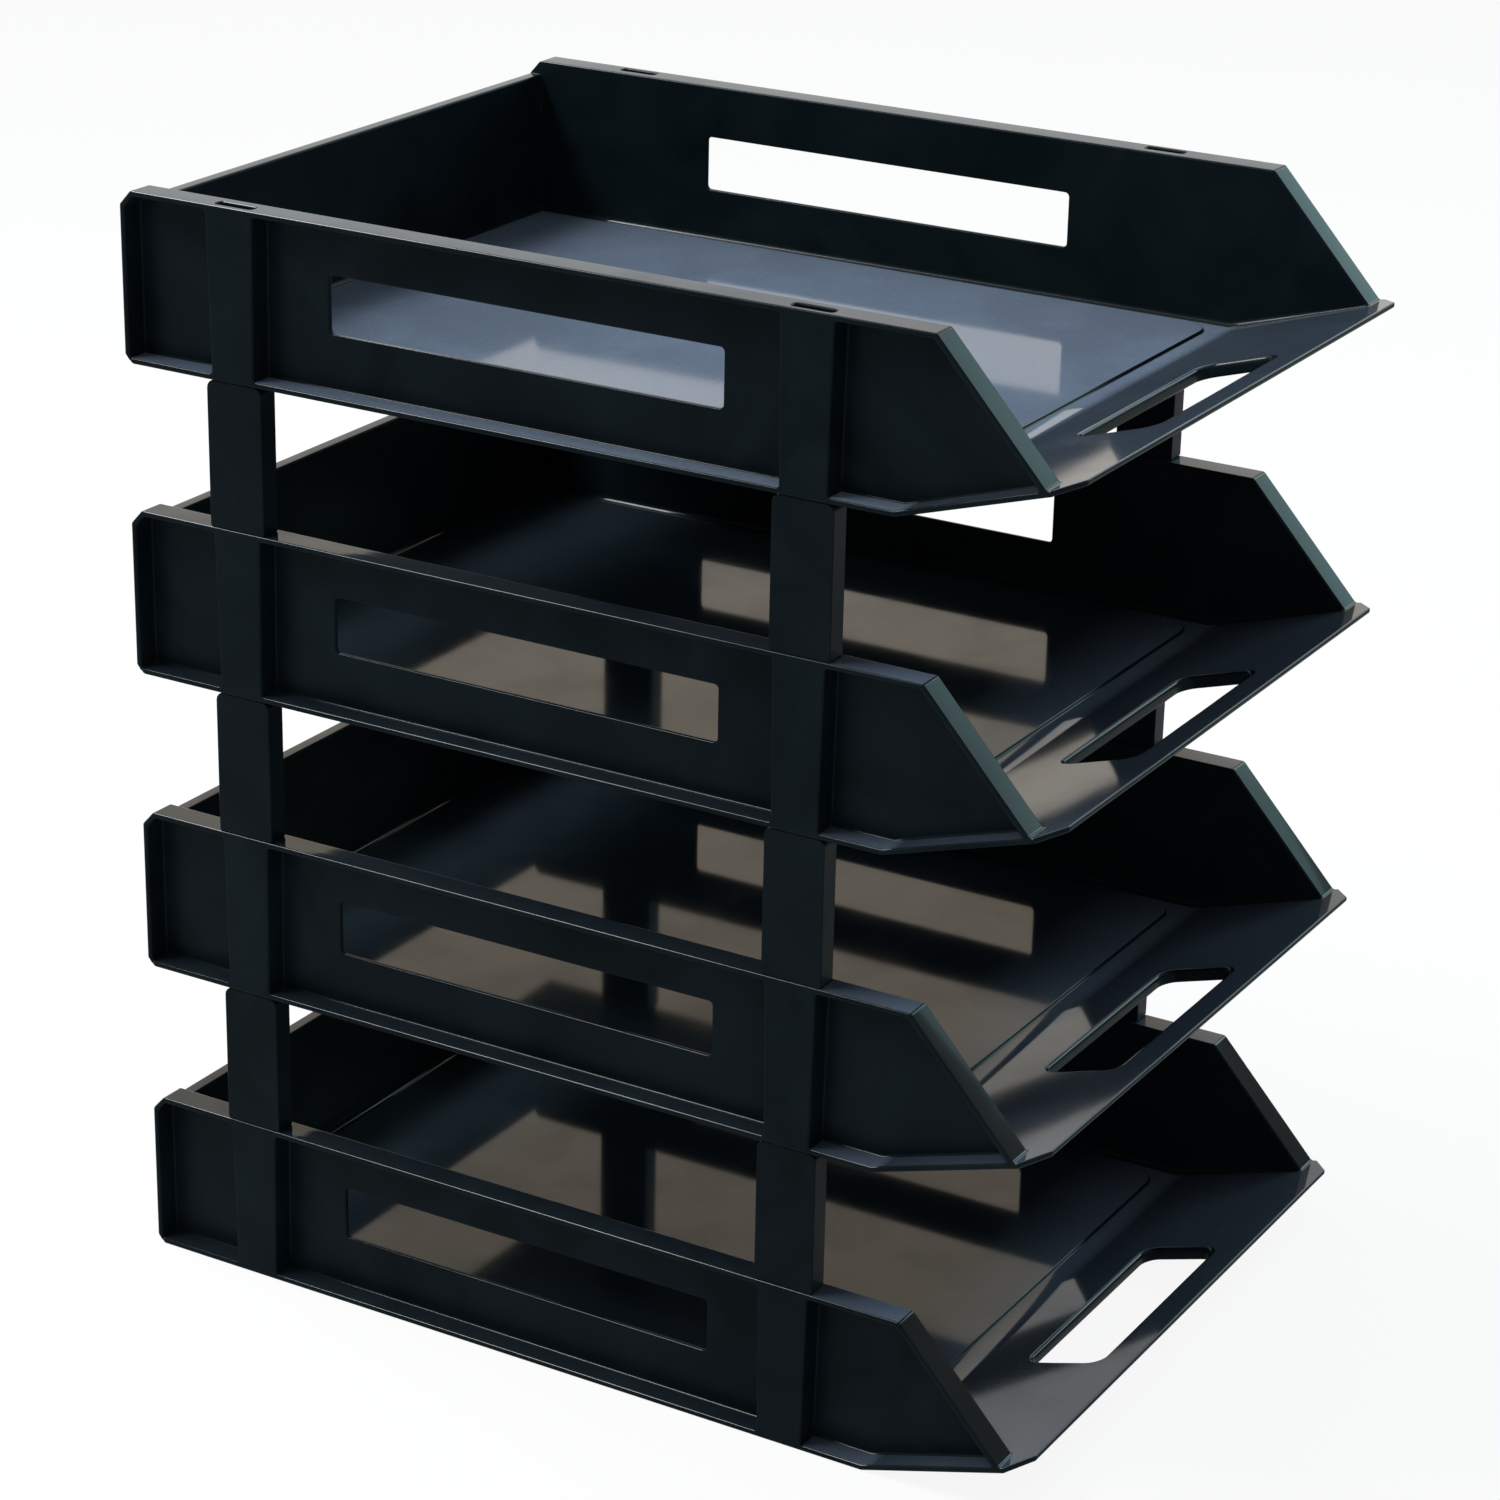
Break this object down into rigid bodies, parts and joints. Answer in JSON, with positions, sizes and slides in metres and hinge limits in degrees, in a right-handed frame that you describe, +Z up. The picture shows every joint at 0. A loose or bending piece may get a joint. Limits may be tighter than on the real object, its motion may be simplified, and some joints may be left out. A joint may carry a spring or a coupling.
{
  "type": "letter tray stack",
  "caption": "Stack of open letter trays with ramped fronts and windowed sides, held apart by plug-in riser posts.",
  "frame": {"origin": "middle of the space that the stack takes up, at the height of the table", "axes": "+Z is up, the open fronts of the trays face -Y, and X runs across their width"},
  "size_m": [0.255, 0.35, 0.389],
  "materials": {
    "tray_plastic": "polished black moulding with a blue-green cast, fine surface waviness",
    "riser_plastic": "black moulding, a little less polished than the trays"
  },
  "bodies": {
    "bottom_tray": {"bottom_tray": "tray_plastic"},
    "risers_1": {"riser_1_front_left": "riser_plastic", "riser_1_front_right": "riser_plastic", "riser_1_rear_left": "riser_plastic", "riser_1_rear_right": "riser_plastic"},
    "second_tray": {"second_tray": "tray_plastic"},
    "risers_2": {"riser_2_front_left": "riser_plastic", "riser_2_front_right": "riser_plastic", "riser_2_rear_left": "riser_plastic", "riser_2_rear_right": "riser_plastic"},
    "third_tray": {"third_tray": "tray_plastic"},
    "risers_3": {"riser_3_front_left": "riser_plastic", "riser_3_front_right": "riser_plastic", "riser_3_rear_left": "riser_plastic", "riser_3_rear_right": "riser_plastic"},
    "top_tray": {"top_tray": "tray_plastic"}
  },
  "joints": [
    {"name": "lift_risers_1", "type": "slide", "parent": "bottom_tray", "child": "risers_1", "axis": [0, 0, 1], "range_m": [0, 0.04]},
    {"name": "lift_second_tray", "type": "slide", "parent": "risers_1", "child": "second_tray", "axis": [0, 0, 1], "range_m": [0, 0.08]},
    {"name": "lift_risers_2", "type": "slide", "parent": "second_tray", "child": "risers_2", "axis": [0, 0, 1], "range_m": [0, 0.04]},
    {"name": "lift_third_tray", "type": "slide", "parent": "risers_2", "child": "third_tray", "axis": [0, 0, 1], "range_m": [0, 0.08]},
    {"name": "lift_risers_3", "type": "slide", "parent": "third_tray", "child": "risers_3", "axis": [0, 0, 1], "range_m": [0, 0.04]},
    {"name": "lift_top_tray", "type": "slide", "parent": "risers_3", "child": "top_tray", "axis": [0, 0, 1], "range_m": [0, 0.08]}
  ]
}
